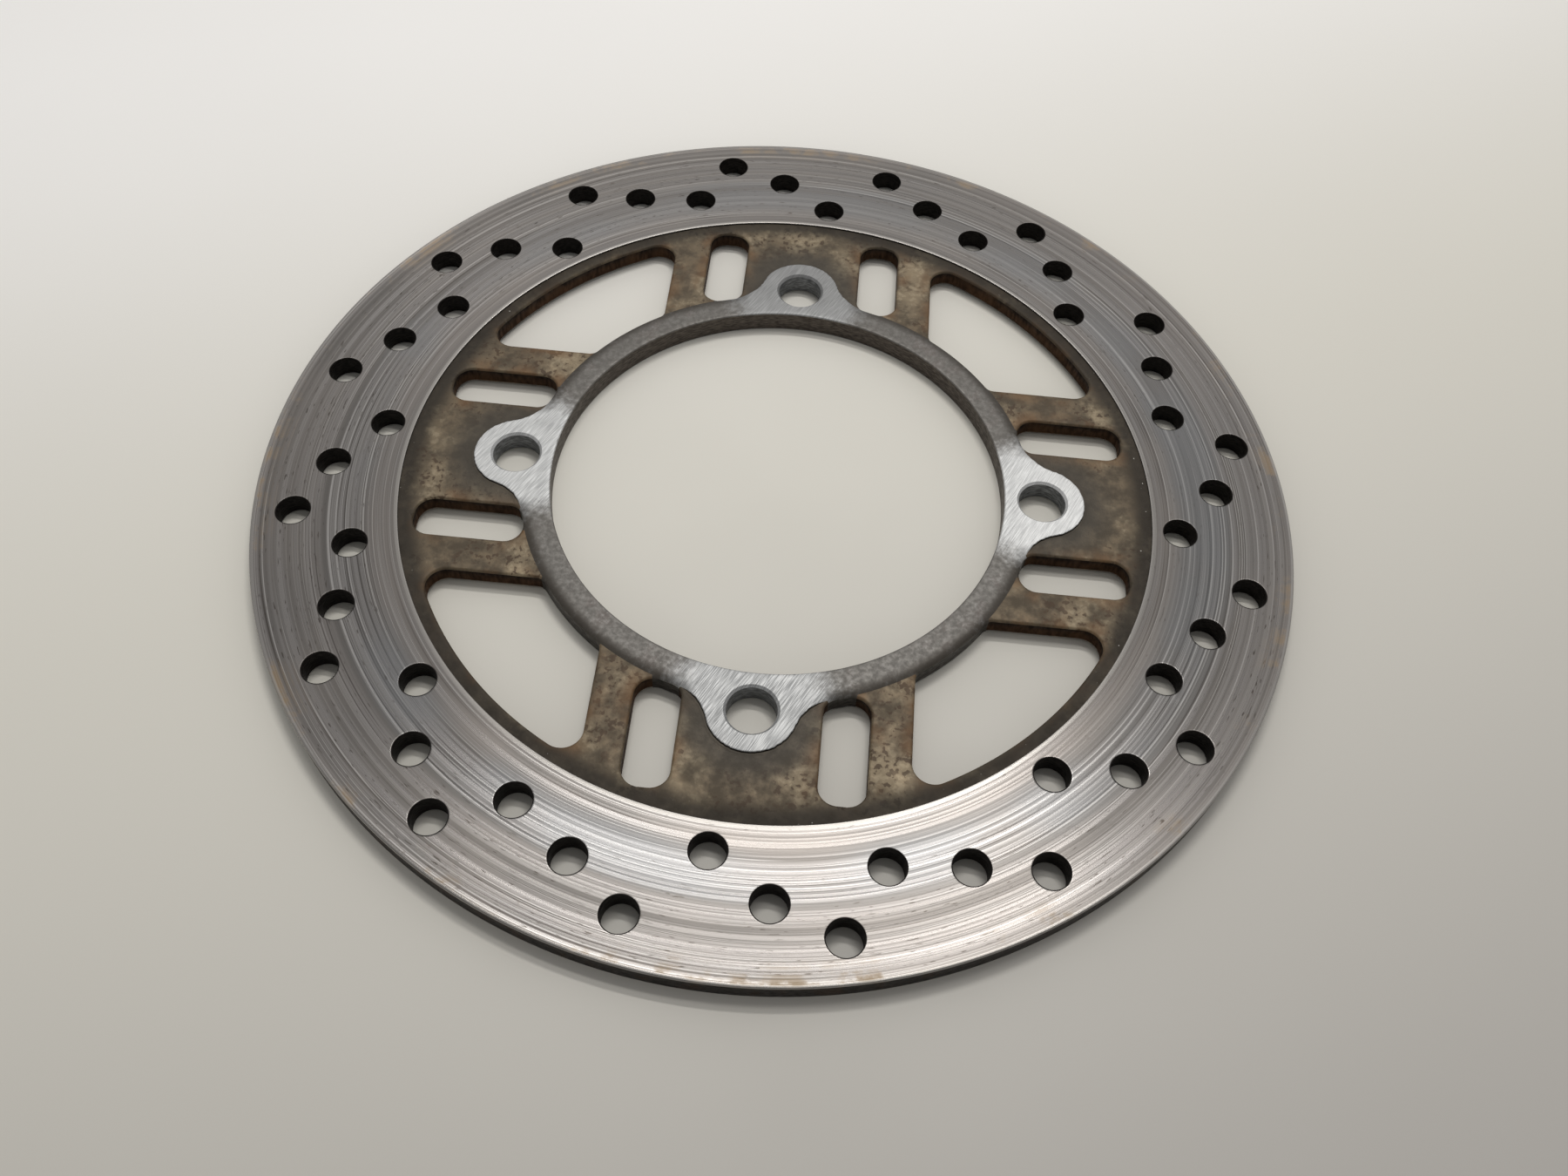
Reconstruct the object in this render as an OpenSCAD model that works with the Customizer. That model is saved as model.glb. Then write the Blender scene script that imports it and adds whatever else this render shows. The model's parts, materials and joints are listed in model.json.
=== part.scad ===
// Drilled, fixed brake disc rotor for a motorcycle rear wheel.
// Origin: centre of the bore, on the face that bolts to the wheel hub. +Z points out of the wheel.
// The disc is one steel plate. Each node is one working region of that plate, and neighbours
// meet face to face: the braking band, the thin rim inside it, the four slotted webs and the
// hub flange with its four bolt lugs.

/* [Braking band] */
// Outer diameter of the disc
disc_d = 230; // [222:1:240]
// Inner diameter of the ground braking band
band_inner_d = 168; // [166:0.5:171]
// Thickness of the band after wear
band_t = 5.0; // [4.5:0.1:5.2]
// Edge break on the band's outer and inner edges
band_edge = 0.3; // [0.1:0.1:0.6]

/* [Drilled holes] */
// Diameter of the drilled holes
drill_d = 7.3; // [6:0.1:8]
// Radii of the long row's holes, from the outermost inwards
long_row_r = [106.3, 99.4, 90.2]; // [89:0.1:106.5]
// Angles of the long row's holes, from the X axis
long_row_deg = [101.75, 94.25, 86.75]; // [60:0.25:105]
// Radii of the short row's holes, from the outermost inwards
short_row_r = [105.7, 98.8, 94.2]; // [89:0.1:106.5]
// Angles of the short row's holes, from the X axis
short_row_deg = [79.25, 71.75, 62.75]; // [60:0.25:105]

/* [Webs] */
// Thickness of the webs and of the rim that joins them
web_t = 4.2; // [3.8:0.1:4.6]
// Width of each web, across its two slots
web_w = 65.2; // [60:0.2:68]
// Inner diameter of the rim that joins the webs
rim_inner_d = 162; // [158:0.5:164]
// Corner radius of the windows beside the rim
window_corner_r = 4.2; // [3:0.1:6]
// Corner radius of the windows beside the hub flange
window_root_r = 2.5; // [1.5:0.1:4]

/* [Web slots] */
// Width of a slot
slot_w = 9.7; // [8.5:0.1:10.5]
// Distance from the web's middle line to the slot's middle line
slot_offset = 19.25; // [18.5:0.05:20]
// Distance from the disc's centre line to the slot's outer end
slot_reach = 78.2; // [74:0.1:79]
// Corner radius of the slot
slot_corner_r = 4; // [3.5:0.1:4.2]
// Corner radius of the slot where it passes the bolt lug
slot_lug_corner_r = 3; // [2.5:0.1:3.5]

/* [Hub flange] */
// Diameter of the centre bore that sits on the wheel hub
bore_d = 102; // [98:0.5:104]
// Outer diameter of the flange ring
flange_d = 115; // [113:0.5:116]
// Thickness of the flange and its lugs
flange_t = 5.3; // [5.2:0.1:6]
// Pitch circle diameter of the bolt holes
bolt_pcd = 119; // [118:0.5:120]
// Diameter of a bolt hole
bolt_hole_d = 10.5; // [8.5:0.1:11]
// Chamfer at both ends of a bolt hole
bolt_chamfer = 0.5; // [0.2:0.1:0.8]
// Radius of a bolt lug's rounded tip
lug_r = 9.4; // [8.8:0.1:10]
// Radius that blends a lug into the flange ring
lug_blend_r = 10.5; // [9:0.1:11.5]

/* [Hidden] */
$fn = 180;
steel = [0.66, 0.65, 0.64];
oxide = [0.45, 0.39, 0.31];
flange_steel = [0.60, 0.61, 0.63];
over = 1;                             // how far a cutter runs past the faces it cuts
blunt = 12;                           // tapering tips stop this many degrees before they vanish
lugs = 4;
quarter = 360 / lugs;
drill_repeats = 2 * lugs;             // times that the pair of hole rows repeats round the band

band_r = band_inner_d / 2;
disc_r = disc_d / 2;
rim_r = rim_inner_d / 2;
ring_r = flange_d / 2;
bolt_r = bolt_pcd / 2;
half_web = web_w / 2;
half_slot = slot_w / 2;
mid_z = flange_t / 2;                 // every region is centred on this plane

// Point at radius r on the line from the origin through point p
function on_ray(p, r) = r * p / norm(p);
// Height above the X axis of a point at distance r from the origin and x from the Y axis
function height_at(r, x) = sqrt(r * r - x * x);
// Direction of v, turned anticlockwise
function aim(v, turn) = [cos(turn) * v.x - sin(turn) * v.y, sin(turn) * v.x + cos(turn) * v.y] / norm(v);

// Centre of the blend between a lug and the flange ring
blend_y = (pow(ring_r + lug_blend_r, 2) - pow(lug_r + lug_blend_r, 2) + pow(bolt_r, 2)) / (2 * bolt_r);
blend_c = [height_at(ring_r + lug_blend_r, blend_y), blend_y];
lug_c = [0, bolt_r];
// Where the blend touches the flange ring and the lug's tip
blend_on_ring = on_ray(blend_c, ring_r);
blend_on_lug = lug_c + on_ray(blend_c - lug_c, lug_r);

// Centres of a window's corner radii beside the rim and beside the flange
rim_corner = [half_web + window_corner_r, height_at(rim_r - window_corner_r, half_web + window_corner_r)];
root_corner = [half_web + window_root_r, height_at(ring_r + window_root_r, half_web + window_root_r)];
// Half the width in which a web and its corner radii fit, and a little more
web_reach = rim_corner.x + window_corner_r + over;

// Sides of a slot, and the centres of its corner radii beside the flange
slot_near = slot_offset - half_slot;
slot_far = slot_offset + half_slot;
far_corner = [slot_far - slot_corner_r, height_at(ring_r + slot_corner_r, slot_far - slot_corner_r)];
near_corner = [slot_near + slot_lug_corner_r,
               height_at(ring_r + slot_lug_corner_r, slot_near + slot_lug_corner_r)];
slot_bend_y = max(far_corner.y, near_corner.y);

// A plate of thickness t, centred on the disc's middle plane
module plate(t) {
    translate([0, 0, mid_z - t / 2]) linear_extrude(height = t) children();
}

module mirrored_pair() {
    children();
    mirror([1, 0]) children();
}

module drill(r, deg) {
    rotate(deg) translate([r, 0, -over]) cylinder(d = drill_d, h = flange_t + 2 * over);
}

module drilled_rows() {
    for (n = [0 : drill_repeats - 1], hole = [0 : 2]) {
        turn = n * 360 / drill_repeats;
        drill(long_row_r[hole], long_row_deg[hole] + turn);
        drill(short_row_r[hole], short_row_deg[hole] + turn);
    }
}

module braking_band() {
    low = mid_z - band_t / 2;
    high = mid_z + band_t / 2;
    color(steel) difference() {
        rotate_extrude() polygon([
            [band_r, low + band_edge], [band_r + band_edge, low],
            [disc_r - band_edge, low], [disc_r, low + band_edge],
            [disc_r, high - band_edge], [disc_r - band_edge, high],
            [band_r + band_edge, high], [band_r, high - band_edge]]);
        drilled_rows();
    }
}

module inner_rim() {
    color(oxide) plate(web_t) difference() {
        circle(r = band_r);
        circle(r = rim_r);
    }
}

// The lug at the top, with the blends that lead into the flange ring
module lug_outline() {
    translate(lug_c) circle(r = lug_r);
    mirrored_pair() difference() {
        polygon([[0, 0], blend_on_ring, blend_c, blend_on_lug, lug_c]);
        translate(blend_c) circle(r = lug_blend_r);
    }
}

module flange_outline() {
    circle(r = ring_r);
    for (n = [0 : lugs - 1]) rotate(n * quarter) lug_outline();
}

module bolt_hole() {
    translate([0, 0, -over]) cylinder(d = bolt_hole_d, h = flange_t + 2 * over);
    for (face = [0, 1]) translate([0, 0, face * flange_t]) mirror([0, 0, face])
        translate([0, 0, -over]) cylinder(r1 = bolt_hole_d / 2 + bolt_chamfer + over,
            r2 = bolt_hole_d / 2, h = bolt_chamfer + over);
}

module hub_flange() {
    color(flange_steel) difference() {
        plate(flange_t) flange_outline();
        translate([0, 0, -over]) cylinder(d = bore_d, h = flange_t + 2 * over);
        for (n = [0 : lugs - 1]) rotate(n * quarter) translate([0, bolt_r, 0]) bolt_hole();
    }
}

// The part of the window to the right of a web, rounded where it meets the rim and the flange
module window_side() {
    translate(rim_corner) circle(r = window_corner_r);
    translate(root_corner) circle(r = window_root_r);
    polygon([[half_web, root_corner.y], [half_web, rim_corner.y], rim_corner,
        rim_corner + (window_corner_r + over) * aim(rim_corner, blunt),
        [web_reach, rim_r + over], [web_reach, 0],
        root_corner + (window_root_r + over) * aim(-root_corner, -blunt), root_corner]);
}

// One slot to the right of the web's middle line, rounded at all four corners
module slot_outline() {
    end_y = slot_reach - slot_corner_r;
    translate([slot_near, slot_bend_y]) square([slot_w, end_y - slot_bend_y]);
    translate([slot_near + slot_corner_r, end_y]) square([slot_w - 2 * slot_corner_r, slot_corner_r]);
    for (x = [slot_near + slot_corner_r, slot_far - slot_corner_r])
        translate([x, end_y]) circle(r = slot_corner_r);
    difference() {
        union() {
            translate(far_corner) circle(r = slot_corner_r);
            translate(near_corner) circle(r = slot_lug_corner_r);
            polygon([[slot_near, slot_bend_y + over], [slot_near, near_corner.y], near_corner,
                near_corner + (slot_lug_corner_r + over) * aim(-near_corner, -blunt),
                far_corner + (slot_corner_r + over) * aim(-far_corner, blunt),
                far_corner, [slot_far, far_corner.y], [slot_far, slot_bend_y + over]]);
        }
        circle(r = ring_r);
    }
}

// The web at the top: a plate from the flange to the rim, with its two slots
module web_outline() {
    difference() {
        intersection() {
            translate([-web_reach + over, 0]) square([2 * (web_reach - over), disc_r]);
            circle(r = rim_r);
        }
        flange_outline();
        mirrored_pair() window_side();
        mirrored_pair() slot_outline();
    }
}

module web(turn) {
    color(oxide) rotate(turn) plate(web_t) web_outline();
}

module web_top() { web(0); }
module web_right() { web(-quarter); }
module web_bottom() { web(-2 * quarter); }
module web_left() { web(-3 * quarter); }

braking_band();
inner_rim();
web_top();
web_right();
web_bottom();
web_left();
hub_flange();
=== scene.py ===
"""Looks of a drilled motorcycle brake disc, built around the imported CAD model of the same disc.

The disc is one steel plate, and each CAD node is one region of it. Every region is rebuilt here as a fine
mesh with the same outline, so that its rounded edges, wear rings, ground lugs and shoulders are geometry.
All regions are cut from one shared triangulation, so neighbours meet face to face with no gap.
Lengths are millimetres and turn into metres where a mesh or the camera is made. Angles are degrees.
"""
import json
import math
import random

import bpy
import numpy as np
from mathutils import Matrix, Vector, kdtree, noise
from mathutils.geometry import delaunay_2d_cdt

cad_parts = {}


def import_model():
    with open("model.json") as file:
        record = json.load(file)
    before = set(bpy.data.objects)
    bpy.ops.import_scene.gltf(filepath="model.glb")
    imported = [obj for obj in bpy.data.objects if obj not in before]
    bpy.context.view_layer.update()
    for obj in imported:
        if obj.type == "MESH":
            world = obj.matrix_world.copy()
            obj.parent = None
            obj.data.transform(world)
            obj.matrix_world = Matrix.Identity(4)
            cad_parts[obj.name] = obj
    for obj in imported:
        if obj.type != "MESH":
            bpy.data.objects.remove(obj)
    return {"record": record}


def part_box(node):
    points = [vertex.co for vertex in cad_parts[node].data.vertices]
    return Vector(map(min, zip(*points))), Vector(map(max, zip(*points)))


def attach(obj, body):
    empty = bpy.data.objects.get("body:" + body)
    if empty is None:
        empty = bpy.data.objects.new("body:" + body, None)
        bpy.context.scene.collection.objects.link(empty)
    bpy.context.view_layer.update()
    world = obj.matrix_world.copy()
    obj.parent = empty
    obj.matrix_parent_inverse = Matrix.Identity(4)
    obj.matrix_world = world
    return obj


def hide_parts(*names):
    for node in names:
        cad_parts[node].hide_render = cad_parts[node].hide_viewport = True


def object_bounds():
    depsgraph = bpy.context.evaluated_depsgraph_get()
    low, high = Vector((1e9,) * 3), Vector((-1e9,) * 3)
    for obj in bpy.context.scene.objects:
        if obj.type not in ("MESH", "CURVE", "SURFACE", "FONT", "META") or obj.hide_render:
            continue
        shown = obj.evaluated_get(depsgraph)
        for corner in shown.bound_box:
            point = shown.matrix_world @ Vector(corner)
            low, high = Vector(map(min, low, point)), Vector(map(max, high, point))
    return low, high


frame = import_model()
cad_low, cad_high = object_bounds()

MM = 0.001
LUGS = 4
QUARTER = 360 / LUGS


# ---------------------------------------------------------------- sizes


def top_of(node):
    """The upper corner of a CAD node's box."""
    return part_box(node)[1] / MM


def mount(name):
    """The sizes that the part's record gives for one of its mounts."""
    return next(m["dims"] for m in frame["record"]["mounts"] if m["name"] == name)


# From the frame
DISC_R = top_of("braking_band").x
BAND_TOP = top_of("braking_band").z
BAND_R = top_of("inner_rim").x
RIM_R = top_of("web_top").y
WEB_TOP = top_of("web_top").z
FLANGE_TOP = top_of("hub_flange").z
MIDDLE = FLANGE_TOP / 2
BORE_R = mount("centre_bore")["r_mm"]
BOLT_PITCH_R = mount("wheel_bolts")["pcd_mm"] / 2
BOLT_HOLE_R = mount("wheel_bolts")["hole_r_mm"]
LUG_R = top_of("hub_flange").x - BOLT_PITCH_R

# Sizes of the CAD part that its boxes and mounts don't give
RING_R = 57.5
HALF_WEB = 32.6
WINDOW_CORNER_R = 4.2
WINDOW_ROOT_R = 2.5
SLOT_NEAR = 14.4
SLOT_FAR = 24.1
SLOT_REACH = 78.2
SLOT_CORNER_R = 4.0
SLOT_LUG_CORNER_R = 3.0
LUG_BLEND_R = 10.5
BOLT_CHAMFER = 0.5
DRILL_R = 3.65
DRILL_REPEATS = 8
# Radius and angle of the drilled holes that repeat round the band
DRILLED = [(106.3, 101.75), (99.4, 94.25), (90.2, 86.75), (105.7, 79.25), (98.8, 71.75), (94.2, 62.75)]

# Edges of the real surface
PRESSED_EDGE_R = 0.55
DRILLED_EDGE_R = 0.14
BAND_EDGE_R = 0.3
SEAM_EDGE_R = 0.12
BORE_EDGE_R = 0.3
LUG_EDGE_R = 0.16
LUG_FOOT = 0.9
LUG_FOOT_RISE = 0.22
SHOULDER = 2.5
SHOULDER_DROP = FLANGE_TOP - WEB_TOP
SHARP_DEG = 42

# Meshing
CHORD = 0.5
CORNER_CHORD = 0.4
LUG_CHORD = 0.3
BRIDGE_TURN = 30
RING_STEP = 0.42
RING_POINTS = 360
RING_CLEARANCE = 1.15
WEB_LATTICE = 1.5
FLANGE_LATTICE = 0.8
LATTICE_CLEARANCE = 0.6
MERGE = 1e-5
SAME_POINT = 1e-6
ON_EDGE = 1e-4
# More rows of points follow the edges, at these distances into the steel
PRESSED_ROW = 1.1
BOLT_ROWS = (BOLT_CHAMFER, 0.9)
DRILLED_ROWS = (0.45, 0.8)
SEAM_ROW = -0.5
WEB_LATTICE_FROM = RING_R - 2
FLANGE_ROWS = (0.4, 0.8, 1.25, 1.8, SHOULDER, -0.25, -0.55, -LUG_FOOT)
FLANGE_ROW_CLEARANCE = PRESSED_EDGE_R + 0.3
# Heights of the walls' rows of points, as shares of the way up
WALL_LEVELS = (0.8, 0.5, 0.2)
# Distances that the materials read stop here
MEASURED = 15

# Relief: sizes and depths of the unevenness, and a shift that gives each side its own
WEB_ROUGH = (2.2, 0.012)
FLANGE_ROUGH = (2.6, 0.012)
SIDE_SHIFT = 7.3
# The linisher's flat reaches this far from a bolt hole's centre, and fades out over the next stretch
GROUND_R = 11.5
GROUND_FADE = 4
SHOULDER_CURVE = 2.1
# Widths of the band's two unworn lips and of the slope beside each, and how deep the band is worn between
INNER_LIP = 0.7
OUTER_LIP = 0.9
LIP_FADE = 0.5
WORN_DEPTH = 0.05
# Two waves across the band: each one's depth, and its radians for each millimetre
WAVES = ((0.006, 1.9), (0.004, 3.7))
# The band's grooves, drawn at random between these radii, widths and depths
GROOVES = 16
GROOVE_AT = (86, 113.5)
GROOVE_WIDTH = (0.45, 1.3)
GROOVE_DEPTH = (0.004, 0.018)
GROOVE_SEEDS = {1: 11, -1: 23}
# How far the pressed walls lie back, how much further at half their height, and how they are torn
WALL_BACK = 0.01
WALL_HOLLOW = 0.05
TEAR_DEPTH = 0.02
TEAR_SIZE = 1.5
TEAR_RISE = 9


# ---------------------------------------------------------------- outlines
# An outline is an array with a row (x, y, nx, ny) for each point. Its normals point into the steel.


def ray(degrees):
    """A direction of length 1."""
    return np.array([math.cos(math.radians(degrees)), math.sin(math.radians(degrees))])


def angle_of(point):
    return math.degrees(math.atan2(point[1], point[0]))


def arc(centre, radius, start, end, into=1, chord=CHORD):
    """An arc between two angles. Into is 1 where the steel lies outside the circle, and -1 where inside."""
    steps = max(2, math.ceil(abs(math.radians(end - start)) * radius / chord))
    turn = np.radians(np.linspace(start, end, steps + 1))
    rays = np.stack([np.cos(turn), np.sin(turn)], 1)
    return np.hstack([np.asarray(centre) + radius * rays, into * rays])


def line(start, end, normal, chord=1.0):
    """A straight stretch of an outline."""
    steps = max(1, math.ceil(math.dist(start, end) / chord))
    share = np.linspace(0, 1, steps + 1)[:, None]
    points = (1 - share) * np.asarray(start) + share * np.asarray(end)
    return np.hstack([points, np.tile(normal, (len(points), 1))])


def loose(*points):
    """Points of a seam that cross where there is no steel, so they have no normal."""
    return np.array([(*p, 0, 0) for p in points])


def closed(*parts):
    """One closed outline from parts that follow each other, without the points that they share."""
    rows = np.vstack(parts)
    gaps = np.linalg.norm(rows[:, :2] - np.roll(rows[:, :2], 1, 0), axis=1)
    return rows[gaps > SAME_POINT]


def turned(outline, degrees):
    """The outline, turned anticlockwise about the disc's centre."""
    c, s = ray(degrees)
    spin = np.array([[c, s], [-s, c]])
    return np.hstack([outline[:, :2] @ spin, outline[:, 2:] @ spin])


def across_diagonal(outline):
    """The mirror image in the line x = y, in the opposite order."""
    return outline[::-1, [1, 0, 3, 2]]


def across_middle(outline):
    """The mirror image in the Y axis, in the opposite order."""
    return outline[::-1] * np.array([-1, 1, -1, 1])


def all_round(half):
    """A closed outline from its stretch between the top lug's middle and a window's middle."""
    quarter = np.vstack([half, across_diagonal(half)])
    return closed(*[turned(quarter, -n * QUARTER) for n in range(LUGS)])


def circle(radius, into, centre=(0, 0), chord=CHORD):
    return closed(arc(centre, radius, 0, 360, into, chord))


def ring(radius, into):
    """A circle round the disc whose points are in line with those of the band's other rings."""
    return circle(radius, into, chord=2 * math.pi * radius / (RING_POINTS - 0.5))


def corner_at(x, reach):
    """The point of the circle of radius reach that lies at x."""
    return np.array([x, math.sqrt(reach * reach - x * x)])


rim_corner = corner_at(HALF_WEB + WINDOW_CORNER_R, RIM_R - WINDOW_CORNER_R)
root_corner = corner_at(HALF_WEB + WINDOW_ROOT_R, RING_R + WINDOW_ROOT_R)
far_corner = corner_at(SLOT_FAR - SLOT_CORNER_R, RING_R + SLOT_CORNER_R)
near_corner = corner_at(SLOT_NEAR + SLOT_LUG_CORNER_R, RING_R + SLOT_LUG_CORNER_R)
lug_centre = np.array([0, BOLT_PITCH_R])
blend_reach = RING_R + LUG_BLEND_R
blend_y = (blend_reach**2 - (LUG_R + LUG_BLEND_R) ** 2 + BOLT_PITCH_R**2) / (2 * BOLT_PITCH_R)
blend_centre = np.array([math.sqrt(blend_reach**2 - blend_y**2), blend_y])

# A seam leaves each rounded corner square to its edge, at this direction from the corner's centre
rim_bridge = angle_of(rim_corner) + BRIDGE_TURN
root_bridge = angle_of(-root_corner) - BRIDGE_TURN
far_bridge = angle_of(-far_corner) + BRIDGE_TURN
near_bridge = angle_of(-near_corner) - BRIDGE_TURN


def bridge(centre, radius, degrees, reach, around=(0, 0)):
    """A seam's short crossing from a rounded corner to the circle of radius reach: its two ends."""
    start = centre + radius * ray(degrees)
    gap = start - np.asarray(around)
    b, c = gap @ ray(degrees), gap @ gap - reach * reach
    lengths = (-b - math.sqrt(b * b - c), -b + math.sqrt(b * b - c))
    return start, start + min(t for t in lengths if t > 0) * ray(degrees)


def bent_corner(centre, radius, start, middle, end):
    """A rounded corner with a point of its own at the direction middle, where a seam meets it."""
    return np.vstack([
        arc(centre, radius, start, middle, chord=CORNER_CHORD),
        arc(centre, radius, middle, end, chord=CORNER_CHORD),
    ])


def window_outline():
    """The window between the top and the right web."""
    half = np.vstack([
        arc((0, 0), RING_R, 45, angle_of(root_corner), into=-1),
        bent_corner(root_corner, WINDOW_ROOT_R, angle_of(-root_corner), root_bridge, -180),
        line((HALF_WEB, root_corner[1]), (HALF_WEB, rim_corner[1]), (-1, 0)),
        bent_corner(rim_corner, WINDOW_CORNER_R, 180, rim_bridge, angle_of(rim_corner)),
        arc((0, 0), RIM_R, angle_of(rim_corner), 45),
    ])
    return closed(half, across_diagonal(half))


def slot_outline():
    """The slot to the right of the top web's middle line."""
    left, right, end_y = SLOT_NEAR + SLOT_CORNER_R, SLOT_FAR - SLOT_CORNER_R, SLOT_REACH - SLOT_CORNER_R
    return closed(
        line((SLOT_NEAR, near_corner[1]), (SLOT_NEAR, end_y), (-1, 0)),
        arc((left, end_y), SLOT_CORNER_R, 180, 90, chord=CORNER_CHORD),
        line((left, SLOT_REACH), (right, SLOT_REACH), (0, 1)),
        arc((right, end_y), SLOT_CORNER_R, 90, 0, chord=CORNER_CHORD),
        line((SLOT_FAR, end_y), (SLOT_FAR, far_corner[1]), (1, 0)),
        bent_corner(far_corner, SLOT_CORNER_R, 0, far_bridge, angle_of(-far_corner)),
        arc((0, 0), RING_R, angle_of(far_corner), angle_of(near_corner), into=-1),
        bent_corner(near_corner, SLOT_LUG_CORNER_R, angle_of(-near_corner), near_bridge, -180),
    )


def pressed_outlines():
    """All the windows and slots."""
    found = []
    for n in range(LUGS):
        found.append(turned(window_outline(), n * QUARTER))
        found.append(turned(slot_outline(), n * QUARTER))
        found.append(turned(across_middle(slot_outline()), n * QUARTER))
    return found


def drilled_centres():
    step = 360 / DRILL_REPEATS
    return [r * ray(deg + n * step) for n in range(DRILL_REPEATS) for r, deg in DRILLED]


def bolt_centres():
    return [BOLT_PITCH_R * ray(n * QUARTER) for n in range(LUGS)]


def smooth(share):
    """Eases a share that rises from 0 to 1, and holds it there outside."""
    share = np.clip(share, 0, 1)
    return share * share * (3 - 2 * share)


def to_nearest(points, centres):
    """Each point's distance from the nearest of the centres."""
    return np.min([np.linalg.norm(points - c, axis=1) for c in centres], axis=0)


def groundness(points):
    """1 where the linisher has ground a lug flat, and 0 out on the flange ring."""
    return 1 - smooth((to_nearest(points, bolt_centres()) - GROUND_R) / GROUND_FADE)


def jagged(outline, amount=0.14, size=0.8):
    """The outline with the ragged burr that grinding leaves along a lug's edge."""
    bite = [noise.noise(Vector((x / size, y / size, 0))) for x, y in outline[:, :2]]
    shift = amount * np.array(bite) * groundness(outline[:, :2])
    return np.hstack([outline[:, :2] + shift[:, None] * outline[:, 2:], outline[:, 2:]])


def flange_outline_and_seam():
    """The flange's outline, and the seam where it meets the webs. The seam crosses slots and windows."""
    on_lug = angle_of(blend_centre - lug_centre)
    near_edge, near_seam = bridge(near_corner, SLOT_LUG_CORNER_R, near_bridge, LUG_BLEND_R, blend_centre)
    far_edge, far_seam = bridge(far_corner, SLOT_CORNER_R, far_bridge, RING_R)
    root_edge, root_seam = bridge(root_corner, WINDOW_ROOT_R, root_bridge, RING_R)
    leave = angle_of(near_seam - blend_centre) % 360
    lug = np.vstack([
        arc(lug_centre, LUG_R, 90, on_lug, into=-1, chord=LUG_CHORD),
        arc(blend_centre, LUG_BLEND_R, 180 + on_lug, leave, chord=LUG_CHORD),
    ])
    web_side = arc((0, 0), RING_R, angle_of(far_seam), angle_of(root_seam), into=-1, chord=0.8)
    past_slot = np.vstack([
        arc(blend_centre, LUG_BLEND_R, leave, 180 + angle_of(blend_centre)),
        arc((0, 0), RING_R, angle_of(blend_centre), angle_of(far_seam), into=-1),
    ])
    past_root = arc((0, 0), RING_R, angle_of(root_seam), 45, into=-1)
    over_slot = loose(near_edge, near_corner, far_corner, far_edge)
    over_window = loose(root_edge, root_corner)
    outline = all_round(np.vstack([lug, past_slot, web_side, past_root]))
    seam = all_round(np.vstack([lug, over_slot, web_side, over_window]))
    return jagged(outline), jagged(seam)


def rim_seam():
    """Where the webs meet the inner rim. The seam crosses the windows."""
    on_edge, on_seam = bridge(rim_corner, WINDOW_CORNER_R, rim_bridge, RIM_R)
    along = arc((0, 0), RIM_R, 90, angle_of(on_seam), chord=1.1)
    return all_round(np.vstack([along, loose(on_edge, rim_corner)]))


# ---------------------------------------------------------------- triangulation


def offset(outline, distance):
    """The outline's points, moved into the steel by distance."""
    return outline[:, :2] + distance * outline[:, 2:]


def fillet_steps(radius, steps=3):
    """Distances from an edge at which a rounding of this radius gets its rows of points."""
    turns = [math.radians(90 * (n + 1) / steps) for n in range(steps)]
    return [radius * (1 - math.cos(t)) for t in turns]


def fillet_drop(distance, radius):
    """How far a rounded edge lies below its face, at a distance from the edge."""
    left = np.clip(radius - distance, 0, radius)
    return radius - np.sqrt(radius * radius - left * left)


def tree_of(points):
    """A search tree of flat points."""
    tree = kdtree.KDTree(len(points))
    for n, (x, y) in enumerate(points):
        tree.insert((x, y, 0), n)
    tree.balance()
    return tree


def distances(points, tree):
    """Each point's distance from the nearest point of the tree."""
    return np.array([tree.find((x, y, 0))[2] for x, y in points])


def finely(outline, parts=5):
    """The outline's points, with more between them, to measure distances from."""
    here = outline[:, :2]
    after = np.roll(here, -1, 0)
    return np.vstack([here + (after - here) * n / parts for n in range(parts)])


def inside(points, outline):
    """Whether each point lies inside the closed outline."""
    corners = outline[:, :2]
    low, high = corners.min(0), corners.max(0)
    found = np.zeros(len(points), bool)
    near = np.flatnonzero(np.all((points > low) & (points < high), axis=1))
    x, y = points[near].T
    odd = np.zeros(len(near), bool)
    for (x0, y0), (x1, y1) in zip(corners, np.roll(corners, -1, 0)):
        spans = (y0 > y) != (y1 > y)
        if y0 != y1:
            odd ^= spans & (x < x0 + (y - y0) * (x1 - x0) / (y1 - y0))
    found[near] = odd
    return found


def lattice(step, reach, low_reach, others):
    """A triangular lattice between two radii, clear of the other points."""
    rows = np.arange(-reach, reach, step * math.sqrt(3) / 2)
    columns = np.arange(-reach, reach, step)
    x, y = np.meshgrid(columns, rows)
    x = x + step / 2 * (np.arange(len(rows)) % 2)[:, None]
    points = np.stack([x.ravel(), y.ravel()], 1)
    radius = np.linalg.norm(points, axis=1)
    points = points[(radius < reach) & (radius > low_reach)]
    return points[distances(points, tree_of(others)) > LATTICE_CLEARANCE * step]


def band_rings():
    """Rings of points across the band, clear of the drilled holes."""
    low, high = BAND_R + SEAM_EDGE_R, DISC_R - BAND_EDGE_R
    radii = np.linspace(low, high, round((high - low) / RING_STEP) + 1)[1:-1]
    turn = np.radians(np.arange(RING_POINTS) * 360 / RING_POINTS)
    rays = np.stack([np.cos(turn), np.sin(turn)], 1)
    points = (radii[:, None, None] * rays).reshape(-1, 2)
    return points[to_nearest(points, drilled_centres()) > DRILL_R + RING_CLEARANCE]


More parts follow.
